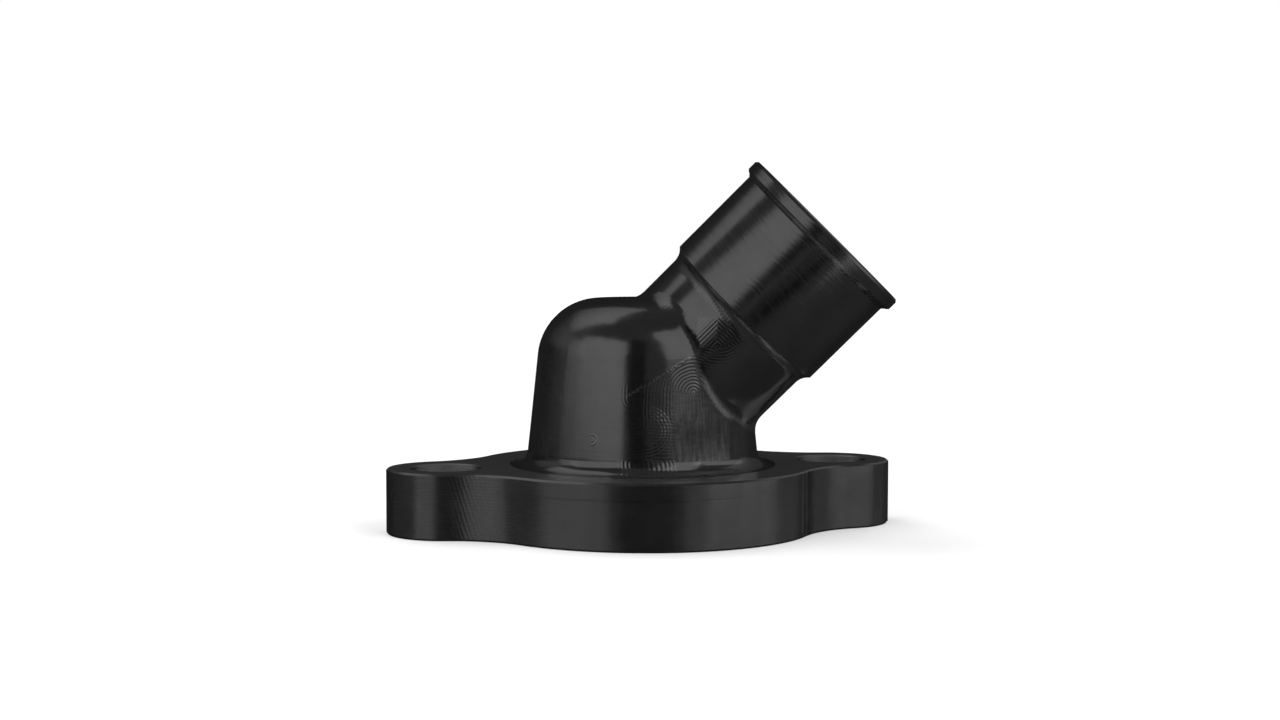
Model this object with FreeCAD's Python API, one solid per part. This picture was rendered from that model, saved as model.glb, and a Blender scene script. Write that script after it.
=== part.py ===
import FreeCAD, Part
import math
import os

# Thermostat housing, machined from one billet: a two-bolt flange, a tapered dome over the thermostat
# chamber, and a hose spigot that leaves the dome at an angle. Millimetres, +Z up.
# The origin is on the dome's axis in the gasket face, and the two bolts stand on the X axis.

os.makedirs("parts", exist_ok=True)

# Flange
bolt_spacing = 82.55
flange_disc_radius = 36.0
flange_thickness = 13.4
lug_radius = 12.25
waist_radius = 20.0            # hollow curve between the disc and each lug
flange_edge_break = 0.4

# Bolt holes, each with a seat for a socket-head bolt
bolt_hole_diameter = 9.0
bolt_seat_diameter = 14.4
bolt_seat_floor = 5.0          # metal left under the bolt's head
bolt_seat_chamfer = 0.3

# Spigot
hose_diameter = 38.1
shoulder_step = 1.35           # of the hose seat above the neck
shoulder_sweep = 3.6           # radius of the curve from the neck out to the shoulder
hose_seat_length = 20.7        # from the shoulder to the bead
neck_wall = 2.7
neck_fillet = 4.5              # where the neck meets the dome
spigot_tilt = 45.0             # degrees above the flange
spigot_heading = -20.0         # degrees about Z, from the line of the bolts
bead_width = 2.9
bead_height = 1.25
bead_root_chamfer = 0.6
bead_edge_break = 0.5
mouth_chamfer = 0.8

# Dome, which takes its size and height from the neck that leaves it
dome_side = 6.5                # of the dome's wall beyond the neck's radius
dome_rise = 10.3               # of the dome's height beyond its radius
neck_depth = 6.4               # of a ball as wide as the neck, on both axes, below the dome's top
neck_reach = 5.9               # of the shoulder beyond the dome's radius, along the spigot's axis
dome_taper = 6.0               # degrees
dome_round_radius = 12.9
foot_fillet = 3.2
foot_ring_depth = 0.2          # shallow turned ring round the dome's foot
foot_ring_land = 0.45          # flat left outside the fillet

# Chamber inside the dome
dome_wall = 4.0                # of the side and the roof
chamber_roof_chamfer = 6.0

# Underside: seat for the thermostat's rim, and the groove of the seal ring round it
thermostat_seat_diameter = 54.6
thermostat_seat_depth = 2.2
seal_groove_gap = 2.0          # metal between the seat and the groove
seal_groove_width = 3.4
seal_groove_depth = 2.4

origin = FreeCAD.Vector(0, 0, 0)
up = FreeCAD.Vector(0, 0, 1)
dome_lean = math.radians(dome_taper)
hose_radius = hose_diameter / 2
neck_radius = hose_radius - shoulder_step
bore_radius = neck_radius - neck_wall
dome_radius = neck_radius + dome_side      # of the tapered wall, carried down to the top of the flange
dome_height = dome_radius + dome_rise      # above the flange
spigot_axis_height = dome_height - neck_depth - neck_radius
shoulder_distance = dome_radius + neck_reach
bead_distance = shoulder_distance + hose_seat_length
spigot_length = bead_distance + bead_width


def section_point(radius, height):
    return FreeCAD.Vector(radius, 0, height)


def on_circle(centre, radius, degrees):
    """Point of a circle drawn in the section plane."""
    turn = math.radians(degrees)
    return section_point(centre.x + radius * math.cos(turn), centre.z + radius * math.sin(turn))


def section_arc(centre, radius, first, last):
    """Arc in the section plane from one angle to another, in degrees."""
    ends = [on_circle(centre, radius, degrees) for degrees in (first, (first + last) / 2, last)]
    return Part.Arc(*ends).toShape()


def straight_edges(*points):
    return [Part.makeLine(first, last) for first, last in zip(points, points[1:])]


def revolved(edges):
    return Part.Face(Part.Wire(edges)).revolve(origin, up, 360)


def ring(inner_radius, outer_radius, low, high):
    outer = Part.makeCylinder(outer_radius, high - low, up * low)
    return outer.cut(Part.makeCylinder(inner_radius, high - low, up * low))


def plan_arc(centre, radius, first, last):
    """Arc in the flange's plan from one angle to another, in degrees."""
    points = []
    for degrees in (first, (first + last) / 2, last):
        turn = math.radians(degrees)
        points.append(centre + FreeCAD.Vector(math.cos(turn), math.sin(turn), 0) * radius)
    return Part.Arc(*points).toShape()


def flange_outline():
    """Disc with a round lug at each end, joined by hollow curves that are tangent to both."""
    lug_x = bolt_spacing / 2
    disc_reach = flange_disc_radius + waist_radius
    lug_reach = lug_radius + waist_radius
    waist_x = (disc_reach ** 2 - lug_reach ** 2 + lug_x ** 2) / (2 * lug_x)
    waist_y = math.sqrt(disc_reach ** 2 - waist_x ** 2)
    disc_end = math.degrees(math.atan2(waist_y, waist_x))
    lug_end = math.degrees(math.atan2(waist_y, waist_x - lug_x))
    edges = []
    for turn in (0, 180):
        side = 1 if turn == 0 else -1
        lug_centre = FreeCAD.Vector(side * lug_x, 0, 0)
        edges.append(plan_arc(lug_centre, lug_radius, turn - lug_end, turn + lug_end))
        edges.append(plan_arc(origin, flange_disc_radius, turn + disc_end, turn + 180 - disc_end))
        for hand in (1, -1):
            waist_centre = FreeCAD.Vector(side * waist_x, side * hand * waist_y, 0)
            edges.append(plan_arc(waist_centre, waist_radius,
                                  turn + hand * (lug_end + 180), turn + hand * (disc_end + 180)))
    return Part.Wire(Part.__sortEdges__(edges))


def flange():
    plate = Part.Face(flange_outline()).extrude(up * flange_thickness)
    rims = [edge for edge in plate.Edges if edge.BoundBox.ZLength < flange_edge_break / 2]
    return plate.makeChamfer(flange_edge_break, rims)


def wall_radius(height):
    """Radius of the dome's tapered wall at a height above the gasket face."""
    return dome_radius - (height - flange_thickness) * math.tan(dome_lean)


def foot_fillet_centre():
    height = flange_thickness - foot_ring_depth + foot_fillet
    return section_point(wall_radius(height) + foot_fillet / math.cos(dome_lean), height)


def dome():
    """Foot fillet, tapered wall, round and flat top, turned about the dome's axis."""
    top = flange_thickness + dome_height
    root = flange_thickness / 2
    foot_centre = foot_fillet_centre()
    on_floor = on_circle(foot_centre, foot_fillet, 270)
    on_wall = on_circle(foot_centre, foot_fillet, 180 + dome_taper)
    round_height = top - dome_round_radius
    wall_top = round_height + dome_round_radius * math.sin(dome_lean)
    round_radius = wall_radius(wall_top) - dome_round_radius * math.cos(dome_lean)
    round_centre = section_point(round_radius, round_height)
    edges = [section_arc(foot_centre, foot_fillet, 270, 180 + dome_taper)]
    edges += straight_edges(on_wall, on_circle(round_centre, dome_round_radius, dome_taper))
    edges.append(section_arc(round_centre, dome_round_radius, dome_taper, 90))
    edges += straight_edges(section_point(round_centre.x, top), section_point(0, top),
                            section_point(0, root), section_point(on_floor.x, root), on_floor)
    return revolved(edges)


def foot_ring():
    """Cutter for the shallow ring in the flange round the dome's foot."""
    foot_radius = foot_fillet_centre().x
    return ring(dome_radius / 2, foot_radius + foot_ring_land,
                flange_thickness - foot_ring_depth, flange_thickness + foot_fillet)


def on_spigot_axis(shape):
    """Carries a shape drawn about Z onto the spigot's axis."""
    shape.rotate(origin, FreeCAD.Vector(0, 1, 0), 90 - spigot_tilt)
    shape.rotate(origin, up, spigot_heading)
    shape.translate(up * (flange_thickness + spigot_axis_height))
    return shape


def spigot():
    """Neck, swept shoulder, hose seat and bead, turned about one axis."""
    bead_radius = hose_radius + bead_height
    sweep_turn = math.degrees(math.acos(1 - shoulder_step / shoulder_sweep))
    sweep_start = shoulder_distance - shoulder_sweep * math.sin(math.radians(sweep_turn))
    sweep_centre = section_point(neck_radius + shoulder_sweep, sweep_start)
    edges = straight_edges(section_point(neck_radius, 0), section_point(neck_radius, sweep_start))
    edges.append(section_arc(sweep_centre, shoulder_sweep, 180, 180 - sweep_turn))
    edges += straight_edges(section_point(hose_radius, shoulder_distance),
                            section_point(hose_radius, bead_distance - bead_root_chamfer),
                            section_point(hose_radius + bead_root_chamfer, bead_distance),
                            section_point(bead_radius - bead_edge_break, bead_distance),
                            section_point(bead_radius, bead_distance + bead_edge_break),
                            section_point(bead_radius, spigot_length - bead_edge_break),
                            section_point(bead_radius - bead_edge_break, spigot_length),
                            section_point(0, spigot_length),
                            origin,
                            section_point(neck_radius, 0))
    return on_spigot_axis(revolved(edges))


def is_neck(face):
    return isinstance(face.Surface, Part.Cylinder) and math.isclose(face.Surface.Radius, neck_radius)


def outside():
    """Dome and spigot as one form, with the fillet that runs round the neck."""
    form = dome().fuse(spigot()).removeSplitter().Solids[0]
    junction = []
    for neck in filter(is_neck, form.Faces):
        for edge in neck.Edges:
            is_seam = len(form.ancestorsOfType(edge, Part.Face)) < 2
            is_shoulder = isinstance(edge.Curve, Part.Circle)
            if not is_seam and not is_shoulder:
                junction.append(edge)
    return form.makeFillet(neck_fillet, junction)


def chamber():
    """Hollow of the dome, one wall inside it and open at the gasket face."""
    roof = flange_thickness + dome_height - dome_wall
    below = -flange_thickness
    shoulder = roof - chamber_roof_chamfer
    thickness = dome_wall / math.cos(dome_lean)
    shoulder_radius = wall_radius(shoulder) - thickness
    edges = straight_edges(section_point(0, below),
                           section_point(wall_radius(below) - thickness, below),
                           section_point(shoulder_radius, shoulder),
                           section_point(shoulder_radius - chamber_roof_chamfer, roof),
                           section_point(0, roof),
                           section_point(0, below))
    return revolved(edges)


def waterway():
    """Bore of the spigot, from inside the chamber out through the mouth."""
    funnel_radius = bore_radius + mouth_chamfer
    beyond = spigot_length + bead_width
    edges = straight_edges(origin,
                           section_point(bore_radius, 0),
                           section_point(bore_radius, spigot_length - mouth_chamfer),
                           section_point(funnel_radius, spigot_length),
                           section_point(funnel_radius, beyond),
                           section_point(0, beyond),
                           origin)
    return on_spigot_axis(revolved(edges))


def underside():
    """Cutters for the thermostat's seat and for the seal groove round it."""
    seat_radius = thermostat_seat_diameter / 2
    groove_radius = seat_radius + seal_groove_gap
    below = -flange_thickness
    seat = Part.makeCylinder(seat_radius, thermostat_seat_depth - below, up * below)
    groove = ring(groove_radius, groove_radius + seal_groove_width, below, seal_groove_depth)
    return [seat, groove]


def bolt_hole(side):
    """Cutter for one through hole with its bolt seat."""
    hole_radius = bolt_hole_diameter / 2
    seat_radius = bolt_seat_diameter / 2
    rim_radius = seat_radius + bolt_seat_chamfer
    below = -flange_thickness
    above = flange_thickness * 2
    edges = straight_edges(section_point(0, below),
                           section_point(hole_radius, below),
                           section_point(hole_radius, bolt_seat_floor),
                           section_point(seat_radius, bolt_seat_floor),
                           section_point(seat_radius, flange_thickness - bolt_seat_chamfer),
                           section_point(rim_radius, flange_thickness),
                           section_point(rim_radius, above),
                           section_point(0, above),
                           section_point(0, below))
    cutter = revolved(edges)
    cutter.translate(FreeCAD.Vector(side * bolt_spacing / 2, 0, 0))
    return cutter


def housing():
    body = flange().cut(foot_ring()).fuse(outside())
    for cutter in [chamber(), waterway(), bolt_hole(1), bolt_hole(-1)] + underside():
        body = body.cut(cutter)
    return body.removeSplitter().Solids[0]


shape = housing()
shape.exportStep("parts/housing.step")
print("housing", "valid" if shape.isValid() else "broken", round(shape.Volume / 1000, 1), "cm3")
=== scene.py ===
import math

import bpy
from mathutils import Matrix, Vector

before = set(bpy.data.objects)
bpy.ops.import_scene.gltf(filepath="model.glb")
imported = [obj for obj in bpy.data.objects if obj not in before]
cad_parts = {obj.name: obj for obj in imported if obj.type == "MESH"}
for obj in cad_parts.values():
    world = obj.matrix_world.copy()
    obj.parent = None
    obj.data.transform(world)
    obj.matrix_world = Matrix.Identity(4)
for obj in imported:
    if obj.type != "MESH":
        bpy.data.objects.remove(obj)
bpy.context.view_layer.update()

sceneNow = bpy.context.scene
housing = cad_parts["housing"]


# Shader maths: an expression on these values adds its Math nodes
class NodeValue:
    def __init__(self, maker, socket):
        self.maker = maker
        self.socket = socket

    def __add__(self, other):
        return self.maker.maths("ADD", self, other)

    def __radd__(self, other):
        return self.maker.maths("ADD", other, self)

    def __sub__(self, other):
        return self.maker.maths("SUBTRACT", self, other)

    def __rsub__(self, other):
        return self.maker.maths("SUBTRACT", other, self)

    def __mul__(self, other):
        return self.maker.maths("MULTIPLY", self, other)

    def __rmul__(self, other):
        return self.maker.maths("MULTIPLY", other, self)

    def __truediv__(self, other):
        return self.maker.maths("DIVIDE", self, other)

    def __rtruediv__(self, other):
        return self.maker.maths("DIVIDE", other, self)


class NodeMaker:
    def __init__(self, owner):           # a material or a world
        owner.use_nodes = True
        self.owner = owner
        self.tree = owner.node_tree
        self.tree.nodes.clear()

    def node(self, kind, settings=None, sockets=None, output=0):
        made = self.tree.nodes.new(kind)
        for name, value in (settings or {}).items():
            setattr(made, name, value)
        for name, value in (sockets or {}).items():
            if isinstance(value, NodeValue):
                self.tree.links.new(value.socket, made.inputs[name])
            else:
                made.inputs[name].default_value = value
        return NodeValue(self, made.outputs[output])

    def maths(self, operation, first, second=0.0):
        return self.node("ShaderNodeMath", {"operation": operation}, {0: first, 1: second})

    def ray(self, kind):
        return self.node("ShaderNodeLightPath", output="Is " + kind + " Ray")

    def seen(self):                      # 1 where it is looked at, also in a mirror or through glass
        return self.maths("MINIMUM", self.ray("Camera") + self.ray("Glossy") + self.ray("Transmission"), 1.0)

    def finish(self, surface, outputKind="ShaderNodeOutputMaterial"):
        output = self.tree.nodes.new(outputKind)
        self.tree.links.new(surface.socket, output.inputs["Surface"])
        return self.owner


# Black anodised aluminium with the marks that the cutters left
anodised = {
    "colour": (0.0162, 0.0162, 0.0165),
    "matt": (0.0032, 0.0032, 0.0033),         # what is left where the gloss fades, seen along the surface
    "mattTop": 2.4,                           # times that on the flange's top
    "mattRoughness": 0.6,
    "roughness": 0.16,
    "sideRoughness": 0.25,                    # of the flange's milled side
    "topRoughness": 0.20,                     # of the flange's top
    "streakRoughness": 0.12,                  # added in the streaks round the spigot and the dome
    "seatRoughness": 0.50,                    # of the bolt seats, and how much brighter they are
    "seatShade": 1.2,
    "ownReflection": 22.0,                    # painted reflection: how much brighter the part's faces show in each other, as glossy rays see a raised colour
    "footReflection": 58.0,                   # the same low on the part, in full below the first height
    "footHeights": (20.0, 30.0),
    "rimFacing": (0.30, 0.72),                # where the gloss fades towards the outline, and how much
    "rimFade": 0.60,
    "cutDepth": 0.019,                        # millimetres, from the ridges to the bottom of the grooves
    "cutShade": 0.36,
    "grain": (1.4, 0.0015),                   # fine and broad unevenness: scale, and height in millimetres
    "waves": (0.16, 0.008),
    "cloudScale": 0.22,                       # patches in tone and roughness
    "cloudTone": (0.92, 1.06),
    "cloudRoughness": 0.10,
}

# Millimetres, from the gasket face and the dome's axis
layout = {
    "axisHeight": 23.8,                       # where the spigot's axis meets the dome's
    "axisWay": (0.6644630, -0.2418448, 0.7071068),
    "ahead": (0.9396926, -0.3420201),
    "hoseRadius": 19.05,
    "domeSlope": 0.105,
    "domeReach": 25.6,                        # of its slanted wall, carried down to the gasket face
    "pastWall": (0.15, 0.55),                 # outside that wall, where its blends begin
    "domeHeights": (16.0, 16.6, 45.0, 46.0),  # foot and top of the dome's own wall
    "boltX": 41.275,
    "pitch": 0.66,                            # between two passes of the cutter
    "outside": (17.0, 17.6),                  # off the spigot's axis, which keeps marks out of the bore
    "streaky": (0.35, 0.75),                  # how high the noise is where a streak is rougher
}

# Curved marks are the same on both sides of the upright plane through the spigot, so a centre is given as
# ahead along the spigot, away from that plane, and height. Two numbers are where a mark starts and is full,
# or is full and has faded out. Three are such a centre, or a band's two edges and its softness
domeMarks = {
    "seamSlope": 0.62,                        # the seam climbs towards the spigot
    "seam": (-29.9, -29.5),
    "seamWidth": (-29.3, -28.8),
    "seamStart": (-0.8, 0.4),
    "arches": (12.3, 18.8, 29.5),
    "archReach": (9.0, 11.5),
    "archBottom": (22.0, 25.0),
    "lowTop": (24.0, 27.0),                   # level passes and upright streaks lie below this
    "passesEnd": (6.0, 10.0),
    "nest": (0.55, 22.6, 28.6),
    "nestReach": (0.7, 3.0, 0.4),
    "nestTop": (30.6, 31.6),
    "corner": (3.4, 23.2, 22.2),
    "cornerReach": (2.6, 5.2, 0.5),
    "cornerStart": (3.0, 4.5),
    "nick": (-7.6, 22.3, 20.4),
    "nickReach": (1.2, 1.6),
    "nickStart": (-8.0, -7.4),
    "behind": (-1.35, -1.0),                  # radians round from the back, where the photograph's side ends
}

neckMarks = {
    "radii": (17.4, 18.2, 0.2),
    "along": (13.0, 27.3, 1.0),
    "chevronTip": 16.9,
    "chevronHeights": (38.6, 44.6, 0.3),
    "chevronAway": (14.1, 15.2),
    "arcs": (17.2, 17.6, 43.5),
    "arcTop": (38.3, 38.9),
    "arcReach": (7.5, 10.0),
    "filletRadii": (17.9, 21.0, 0.2),
    "filletEnd": (26.0, 28.0),
    "filletFoot": (17.5, 18.5),
    "sweep": (27.2, 30.1, 0.2),
    "teethPitch": 0.8,
}

spigotMarks = {
    "start": (30.0, 30.2),
    "ringHeight": 0.020,
    "root": (50.6, 51.0, 0.1),                # painted light in the bead's root: lighter, and less so on its underside
    "rootTurn": (-6.0, 6.0),
    "paintedRootLift": 1.8,
    "rootLess": 1.4,
}

# On the photograph's side only
footMarks = {
    "heights": (13.5, 16.3, 0.25),
    "round": (-1.97, -1.50, 0.03),            # radians round from the back
    "faint": (-1.73, -1.59, 0.03),
    "radius": 26.0,
    "pitch": 0.95,
}

# These go by x and height, so they are the same in front and behind, apart from the dwell mark
flangeMarks = {
    "sideTop": (13.1, 13.3),
    "topHeights": (13.15, 13.45, 0.05),
    "topStart": (27.5, 27.8),
    "seatRadius": (7.5, 7.6),
    "seatFloor": (5.2, 5.6),
    "slanting": (-43.0, -33.0, 1.5),          # on the left lug
    "slantingLean": 0.30,
    "slantingPitch": 0.8,
    "passesFade": (-32.0, -20.0),             # level passes, full on the left lug and faint right of it
    "levelLine": (9.9, 10.2, 0.2),            # a fine darker line along the side
    "levelLineSpan": (-29.0, 12.0, 5.0),
    "bandHeight": 0.030,
    "bandShade": 0.40,
    "dwell": (28.3, -22.2, 0.0),              # where the cutter stood still: a light line in a darker patch
    "dwellLine": (0.5, 1.7, 0.3),
    "dwellPatch": (3.2, 4.0),
}


def makeAnodised():
    maker = NodeMaker(bpy.data.materials.new("blackAnodised"))
    place = maker.node("ShaderNodeTexCoord", output="Object")
    millimetres = maker.node("ShaderNodeVectorMath", {"operation": "SCALE"}, {0: place, "Scale": 1000.0})
    split = maker.node("ShaderNodeSeparateXYZ", {}, {0: millimetres}).socket.node
    x, y, z = [NodeValue(maker, socket) for socket in split.outputs]

    def rises(value, low, high):         # 0 below low, 1 above high, smooth in between
        return maker.node("ShaderNodeMapRange", {"interpolation_type": "SMOOTHSTEP"},
                          {"Value": value, "From Min": low, "From Max": high})

    def fades(value, low, high):         # 1 below low, 0 above high
        return maker.node("ShaderNodeMapRange", {"interpolation_type": "SMOOTHSTEP"},
                          {"Value": value, "From Min": low, "From Max": high, "To Min": 1.0, "To Max": 0.0})

    def band(value, low, high, soft):
        return rises(value, low - soft, low + soft) * fades(value, high - soft, high + soft)

    def noise(scale, detail=2.0, at=millimetres):
        return maker.node("ShaderNodeTexNoise", {}, {"Vector": at, "Scale": scale, "Detail": detail})

    def join(first, second, third):
        return maker.node("ShaderNodeCombineXYZ", {}, {0: first, 1: second, 2: third})

    def grooves(distance, pitch, depth=1.0):
        return maker.maths("PINGPONG", distance, pitch / 2) * (2 * depth / pitch)

    def distanceTo(point, at):
        return maker.node("ShaderNodeVectorMath", {"operation": "DISTANCE"}, {0: at, 1: point}, "Value")

    def measure(way):                    # how far along a way from the origin
        return maker.node("ShaderNodeVectorMath", {"operation": "DOT_PRODUCT"},
                          {0: millimetres, 1: way}, "Value")

    def scaled(vector, factor):
        return maker.node("ShaderNodeVectorMath", {"operation": "SCALE"}, {0: vector, "Scale": factor})

    # Where on the part: along and round the spigot, and ahead of and away from its upright plane
    aheadX, aheadY = layout["ahead"]
    axisX, axisY, axisZ = layout["axisWay"]
    flat = math.hypot(axisX, axisY)
    along = measure(layout["axisWay"]) - layout["axisHeight"] * axisZ
    across = measure((-aheadY, aheadX, 0))
    overAxis = measure((-axisZ * aheadX, -axisZ * aheadY, flat)) - layout["axisHeight"] * flat
    offAxis = distanceTo((0, 0, 0), join(across, overAxis, 0.0))
    roundSpigot = maker.maths("ARCTAN2", across, overAxis)
    ahead = measure((aheadX, aheadY, 0))
    away = maker.maths("ABSOLUTE", across)
    side = join(ahead, away, z)
    plan = join(x, y, 0.0)
    fromAxis = distanceTo((0, 0, 0), plan)
    roundDome = maker.maths("ARCTAN2", across, 0.0 - ahead)       # radians, 0 at the back
    overWall = fromAxis + z * layout["domeSlope"]
    wallFrom, wallTo = [layout["domeReach"] + past for past in layout["pastWall"]]
    footLow, footHigh, topLow, topHigh = layout["domeHeights"]
    offDome = maker.maths("MAXIMUM", rises(overWall, wallFrom, wallTo), rises(z, topLow, topHigh))
    onDome = rises(z, footLow, footHigh) * (1.0 - offDome)

    wander = noise(0.12) - 0.5
    patches = noise(0.35)
    pitch = layout["pitch"]

    # Dome: smooth above a slanting seam, and below it level passes, arches, nested cups and upright streaks
    slant = ahead * domeMarks["seamSlope"] - z
    below = rises(slant, *domeMarks["seam"]) * rises(ahead, *domeMarks["seamStart"]) * onDome
    archHeight = domeMarks["arches"][2]
    toArches = distanceTo(domeMarks["arches"], join(ahead, away, maker.maths("MAXIMUM", z, archHeight)))
    cuts = (below * fades(toArches, *domeMarks["archReach"]) * rises(z, *domeMarks["archBottom"])
            * grooves(toArches + wander, pitch, 0.8))
    low = below * fades(z, *domeMarks["lowTop"])
    levelPart = low * fades(ahead, *domeMarks["passesEnd"])
    streakPart = low - levelPart
    cuts = cuts + levelPart * patches * grooves(z + wander * 2.0, pitch, 1.0)
    cuts = cuts + streakPart * (noise(1.0, 1.0, join(ahead * 1.5, across * 1.5, z * 0.12)) * 3.0 - 1.5)
    cuts = cuts + below * fades(slant, *domeMarks["seamWidth"]) * (noise(1.6, 1.0) * 5.0 - 1.8)
    cupHeight = domeMarks["nest"][2]
    toNest = distanceTo(domeMarks["nest"], join(ahead, away, maker.maths("MINIMUM", z, cupHeight)))
    cuts = cuts + (onDome * band(toNest, *domeMarks["nestReach"]) * fades(z, *domeMarks["nestTop"])
                   * grooves(toNest, pitch, 0.35))
    toCorner = distanceTo(domeMarks["corner"], side)
    cuts = cuts + (band(toCorner, *domeMarks["cornerReach"]) * rises(ahead, *domeMarks["cornerStart"])
                   * onDome * grooves(toCorner, pitch))
    toNick = distanceTo(domeMarks["nick"], side)
    cuts = cuts + (fades(toNick, *domeMarks["nickReach"]) * rises(ahead, *domeMarks["nickStart"])
                   * grooves(toNick, pitch))
    rows = noise(1.0, 2.0, join(roundDome * 10.0, z * 1.5, 0.0))
    uprights = noise(1.0, 1.0, join(roundDome * 28.0, z * 0.12, 0.0))
    behind = rises(roundDome, *domeMarks["behind"])
    unevenness = onDome * (rows * 0.006 + uprights * behind * 0.020)
    streaks = onDome * (rises(rows, *layout["streaky"]) * 0.3 + behind * 0.65)

    # Neck: chevrons, arcs under them, and teeth where it runs into the dome and the shoulder
    onNeck = band(offAxis, *neckMarks["radii"]) * band(along, *neckMarks["along"]) * offDome
    chevron = z + maker.maths("ABSOLUTE", ahead - neckMarks["chevronTip"])
    cuts = cuts + (onNeck * band(z, *neckMarks["chevronHeights"]) * rises(away, *neckMarks["chevronAway"])
                   * grooves(chevron, pitch * math.sqrt(2), 1.0))
    toNeckArcs = distanceTo(neckMarks["arcs"], side)
    cuts = cuts + (onNeck * fades(z, *neckMarks["arcTop"]) * fades(toNeckArcs, *neckMarks["arcReach"])
                   * grooves(toNeckArcs + wander, pitch))
    onFillet = (offDome * band(offAxis, *neckMarks["filletRadii"]) * fades(along, *neckMarks["filletEnd"])
                * rises(z, *neckMarks["filletFoot"]))
    onSweep = band(along, *neckMarks["sweep"]) * rises(offAxis, *layout["outside"])
    teethRound = roundSpigot * layout["hoseRadius"]
    cuts = cuts + (onFillet + onSweep) * patches * grooves(teethRound, neckMarks["teethPitch"], 1.4)

    # Spigot: turned rings of uneven depth
    onSpigot = rises(along, *spigotMarks["start"]) * rises(offAxis, *layout["outside"])
    rings = noise(1.0, 3.0, join(along * 1.9, roundSpigot * 2.0, 0.0))
    unevenness = unevenness + onSpigot * rings * spigotMarks["ringHeight"]
    streaks = streaks + onSpigot * rises(rings, *layout["streaky"]) * 0.6

    # Foot: short teeth in its fillet at the front, faint in the middle
    teeth = band(roundDome, *footMarks["round"]) - band(roundDome, *footMarks["faint"]) * 0.75
    teethRound = roundDome * footMarks["radius"] + wander * 3.0
    cuts = cuts + band(z, *footMarks["heights"]) * teeth * grooves(teethRound, footMarks["pitch"], 1.4)

    # Flange: level passes down its side, slanting ones on the left lug, and a soft unevenness round it
    toBolt = distanceTo((layout["boltX"], 0, 0), join(maker.maths("ABSOLUTE", x), y, 0.0))
    inSeat = fades(toBolt, *flangeMarks["seatRadius"]) * rises(z, *flangeMarks["seatFloor"])
    onFlange = fades(z, *flangeMarks["sideTop"]) * (1.0 - inSeat)
    sideBands = noise(0.55, 2.0, join(x, y, z * 0.06)) - 0.5
    slanting = (band(x, *flangeMarks["slanting"])
                * grooves(x + z * flangeMarks["slantingLean"], flangeMarks["slantingPitch"], 0.7))
    passes = (patches * (0.25 + fades(x, *flangeMarks["passesFade"]) * 0.75)
              * grooves(z + wander * 0.3, pitch, 0.7))
    levelLine = band(z, *flangeMarks["levelLine"]) * band(x, *flangeMarks["levelLineSpan"])
    cuts = cuts + onFlange * (passes + slanting - levelLine * 0.45)
    toDwell = distanceTo(flangeMarks["dwell"], plan)
    dwell = band(toDwell, *flangeMarks["dwellLine"]) * 1.6 - fades(toDwell, *flangeMarks["dwellPatch"]) * 0.45
    sideShade = onFlange * (sideBands * flangeMarks["bandShade"] + dwell)

    grainScale, grainHeight = anodised["grain"]
    waveScale, waveHeight = anodised["waves"]
    height = (cuts * anodised["cutDepth"] + unevenness + onFlange * sideBands * flangeMarks["bandHeight"]
              + noise(grainScale) * grainHeight + noise(waveScale) * waveHeight)
    bump = maker.node("ShaderNodeBump", {}, {"Strength": 1.0, "Distance": 0.001, "Height": height})

    glossyRay = maker.ray("Glossy")
    cloud = noise(anodised["cloudScale"], 4.0)
    cloudLow, cloudHigh = anodised["cloudTone"]
    shade = maker.node("ShaderNodeMapRange", {}, {"Value": cloud, "From Min": 0.3, "From Max": 0.7,
                                                  "To Min": cloudLow, "To Max": cloudHigh})
    surface = shade * (1.0 + cuts * anodised["cutShade"] + sideShade)
    # Painted reflection: glossy rays see a brighter colour, so the part's faces show lighter in each other,
    # most of all low down
    paintedReflection = (anodised["ownReflection"] + fades(z, *anodised["footHeights"])
           * (anodised["footReflection"] - anodised["ownReflection"]))
    # Painted light: the colour is raised in the bead's root, less so on its underside
    paintedRootLift = spigotMarks["paintedRootLift"] - fades(overAxis, *spigotMarks["rootTurn"]) * spigotMarks["rootLess"]
    root = band(along, *spigotMarks["root"]) * paintedRootLift
    # This colour carries painted light: the lighter bead root and the brighter colour that glossy rays see
    toneAndPaintedLight = surface * (1.0 + inSeat * anodised["seatShade"] + root) * (1.0 + glossyRay * paintedReflection)
    onTop = band(z, *flangeMarks["topHeights"]) * rises(fromAxis, *flangeMarks["topStart"])
    base = anodised["roughness"]
    roughness = (base + onFlange * (anodised["sideRoughness"] - base)
                 + onTop * (anodised["topRoughness"] - base)
                 + streaks * anodised["streakRoughness"] + inSeat * (anodised["seatRoughness"] - base)
                 + (cloud - 0.5) * anodised["cloudRoughness"])
    gloss = maker.node("ShaderNodeBsdfPrincipled", {}, {
        "Base Color": scaled(anodised["colour"], toneAndPaintedLight),
        "Metallic": 1.0,
        "Roughness": roughness,
        "Normal": bump,
    })
    mattTone = surface * (1.0 + onTop * (anodised["mattTop"] - 1.0))
    matt = maker.node("ShaderNodeBsdfPrincipled", {}, {
        "Base Color": scaled(anodised["matt"], mattTone),
        "Roughness": anodised["mattRoughness"],
        "Specular IOR Level": 0.0,
    })

    # Towards the outline the gloss fades to matt, which takes back the metal's own rise in brightness there
    headOn = anodised["colour"][0]
    facing = maker.node("ShaderNodeLayerWeight", {}, {"Blend": 0.5, "Normal": bump}, "Facing")
    fresnel = headOn + (1 - headOn) * maker.maths("POWER", facing, 5.0)
    rim = rises(facing, *anodised["rimFacing"]) * (1.0 - onTop)
    kept = (1.0 - rim * anodised["rimFade"]) * headOn / fresnel
    fade = (1.0 - kept) * (1.0 - glossyRay)
    return maker.finish(maker.node("ShaderNodeMixShader", {}, {0: fade, 1: gloss, 2: matt}))


housing.data.materials.clear()
housing.data.materials.append(makeAnodised())
print("finish on the housing")


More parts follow.
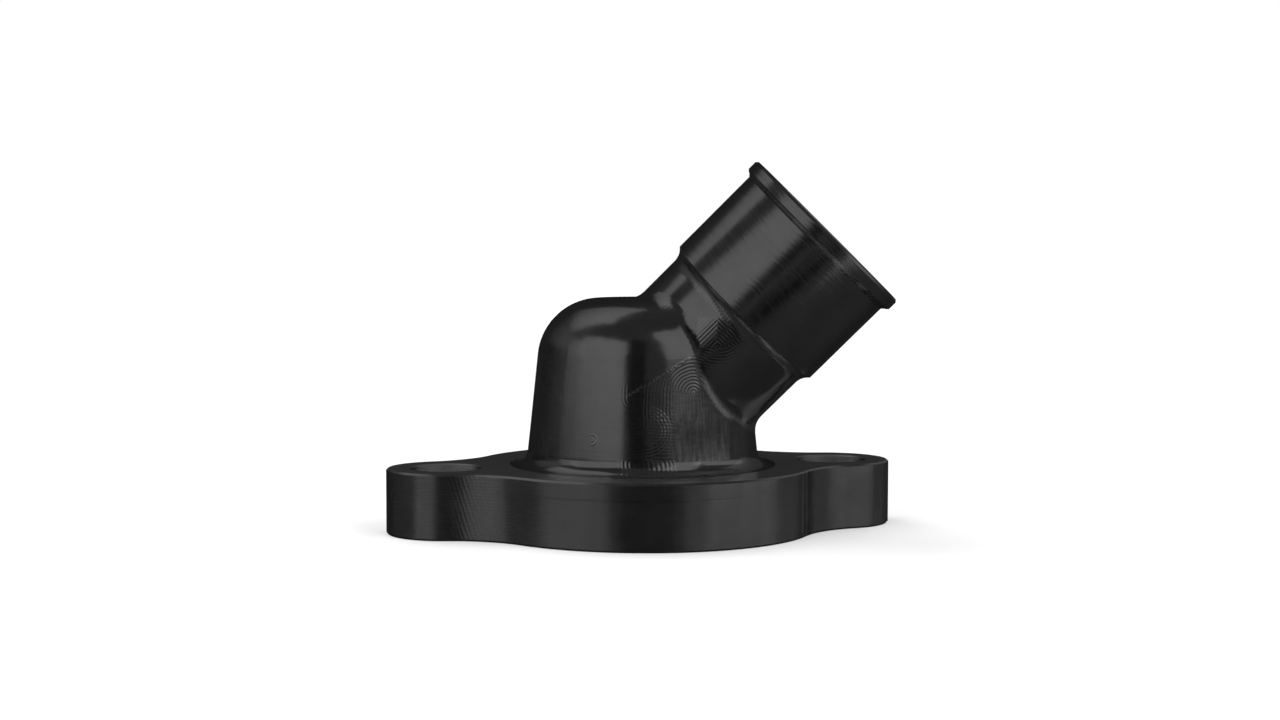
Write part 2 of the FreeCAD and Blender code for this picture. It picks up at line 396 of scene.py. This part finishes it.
# Studio: white surroundings, softboxes and a floor
studioFloor = {
    "width": 12.0,
    "grey": 0.51,
    "sheen": 0.75,                            # of a mirror, where the floor is met at a low angle
    "sheenFacing": (0.50, 0.97),
    "sheenRoughness": 0.12,
    "nearGlow": 0.24,                         # added for the camera only, so that the floor is white
    "farGlow": 1.0,                           # the same, and for reflections too, past the softboxes' reach
    "near": 0.5,
    "far": 1.3,
}


def makeFloorFinish():
    maker = NodeMaker(bpy.data.materials.new("paleFloor"))
    cameraRay = maker.ray("Camera")
    grey = studioFloor["grey"]
    matt = maker.node("ShaderNodeBsdfDiffuse", {}, {"Color": (grey, grey, grey, 1)})
    lacquer = maker.node("ShaderNodeBsdfGlossy", {}, {"Color": (1, 1, 1, 1),
                                                      "Roughness": studioFloor["sheenRoughness"]})
    facing = maker.node("ShaderNodeLayerWeight", {}, {"Blend": 0.5}, "Facing")
    facingFrom, facingTo = studioFloor["sheenFacing"]
    sheen = maker.node("ShaderNodeMapRange", {"interpolation_type": "SMOOTHSTEP"}, {
        "Value": facing, "From Min": facingFrom, "From Max": facingTo, "To Max": studioFloor["sheen"]})
    base = maker.node("ShaderNodeMixShader", {}, {0: sheen * (1.0 - cameraRay), 1: matt, 2: lacquer})
    place = maker.node("ShaderNodeTexCoord", output="Object")
    distance = maker.node("ShaderNodeVectorMath", {"operation": "LENGTH"}, {0: place}, "Value")
    far = maker.node("ShaderNodeMapRange", {}, {
        "Value": distance, "From Min": studioFloor["near"], "From Max": studioFloor["far"]})
    glowing = cameraRay * studioFloor["nearGlow"] * (1.0 - far) + far * studioFloor["farGlow"]
    glow = maker.node("ShaderNodeEmission", {}, {"Color": (1, 1, 1, 1), "Strength": maker.seen() * glowing})
    return maker.finish(maker.node("ShaderNodeAddShader", {}, {0: base, 1: glow}))


bpy.ops.object.select_all(action="DESELECT")
bpy.ops.mesh.primitive_plane_add(size=studioFloor["width"], location=(0, 0, 0))
floor = bpy.context.object
floor.name = "floor"
floor.data.materials.append(makeFloorFinish())

roomLight = 0.10                              # what the room adds to the lamps: where it is seen it is 1, white
sceneNow.world = bpy.data.worlds.new("studio")
maker = NodeMaker(sceneNow.world)
strength = maker.node("ShaderNodeMapRange", {}, {"Value": maker.seen(), "To Min": roomLight, "To Max": 1.0})
maker.finish(maker.node("ShaderNodeBackground", {}, {"Color": (1, 1, 1, 1), "Strength": strength}),
             "ShaderNodeOutputWorld")

# Each softbox: degrees round from the front (to the right) and up, size in degrees, radiance
softboxes = {
    "leftFront": (-59.5, 22.5, 55, 39, 4.6),
    "leftEdge": (-95, 16, 16, 28, 3.0),
    "rightFront": (29, 33, 34, 51, 4.6),
    "topLeft": (-142, 57.5, 40, 39, 4.6),
    "leftBack": (-126, 24, 46, 20, 1.2),
    "rightLow": (73, 18, 62, 18, 4.6),
    "rightBack": (125, 28, 52, 48, 2.4),
}
softboxDistance = 1.1
lampTarget = Vector((0, 0, 0.03))


def wayTo(round_, up):
    aroundZ = math.radians(round_)
    aboveFloor = math.radians(up)
    flatPart = math.cos(aboveFloor)
    return Vector((math.sin(aroundZ) * flatPart, -math.cos(aroundZ) * flatPart, math.sin(aboveFloor)))


for name, (round_, up, wide, tall, radiance) in softboxes.items():
    way = wayTo(round_, up)
    data = bpy.data.lights.new(name, "AREA")
    data.shape = "RECTANGLE"
    data.size = 2 * softboxDistance * math.tan(math.radians(wide / 2))
    data.size_y = 2 * softboxDistance * math.tan(math.radians(tall / 2))
    data.energy = radiance * math.pi * data.size * data.size_y
    lamp = bpy.data.objects.new(name, data)
    lamp.location = lampTarget + way * softboxDistance
    lamp.rotation_euler = way.to_track_quat("Z", "Y").to_euler()
    lamp.visible_camera = False
    sceneNow.collection.objects.link(lamp)
print("studio with", len(softboxes), "softboxes")

# Cards seen only in reflections: one behind the camera, one at the left back, and three low ones near the
# part, the last of them lit. Degrees round from the front and up, distance, width and height in metres,
# grey, glow
cards = {
    "greyCard": (-20, 22, 1.05, 0.36, 0.80, 0.20, 0),
    "darkCard": (-139, 5.5, 1.05, 0.52, 0.24, 0.30, 0),
    "leftLow": (-95, -6.8, 0.151, 0.117, 0.022, 0.35, 0),
    "frontLow": (-11.5, -6.8, 0.151, 0.120, 0.022, 0.14, 0),
    "rightGlow": (47.3, -8.4, 0.122, 0.120, 0.022, 0.5, 4.0),
}

for name, (round_, up, distance, width, height, grey, glow) in cards.items():
    maker = NodeMaker(bpy.data.materials.new(name))
    finish = maker.finish(maker.node("ShaderNodeBsdfPrincipled", {}, {
        "Base Color": (grey, grey, grey, 1),
        "Roughness": 1.0,
        "Specular IOR Level": 0.0,
        "Emission Color": (1, 1, 1, 1),
        "Emission Strength": glow,
    }))
    way = wayTo(round_, up)
    bpy.ops.object.select_all(action="DESELECT")
    bpy.ops.mesh.primitive_plane_add(size=1, location=lampTarget + way * distance,
                                     rotation=way.to_track_quat("Z", "Y").to_euler())
    card = bpy.context.object
    card.name = name
    card.scale = (width, height, 1)
    card.visible_camera = False
    card.visible_diffuse = False
    card.visible_shadow = False
    card.data.materials.append(finish)
print("cards:", len(cards))

# Camera at the photograph's angle, in metres and degrees
cameraFit = {
    "place": (-0.09567, -0.39470, 0.05939),
    "azimuth": 11.97,
    "elevation": 3.96,
    "lens": 54.93,
    "shift": (0.0421, 0.0136),
}
cameraData = bpy.data.cameras.new("camera")
cameraData.sensor_width = 36
cameraData.sensor_fit = "HORIZONTAL"
cameraData.lens = cameraFit["lens"]
cameraData.shift_x, cameraData.shift_y = cameraFit["shift"]
cameraData.clip_start = 0.01
camera = bpy.data.objects.new("camera", cameraData)
camera.location = cameraFit["place"]
camera.rotation_euler = (math.radians(90 - cameraFit["elevation"]), 0, math.radians(-cameraFit["azimuth"]))
sceneNow.collection.objects.link(camera)
sceneNow.camera = camera
sceneNow.view_settings.view_transform = "Standard"
print("camera set")
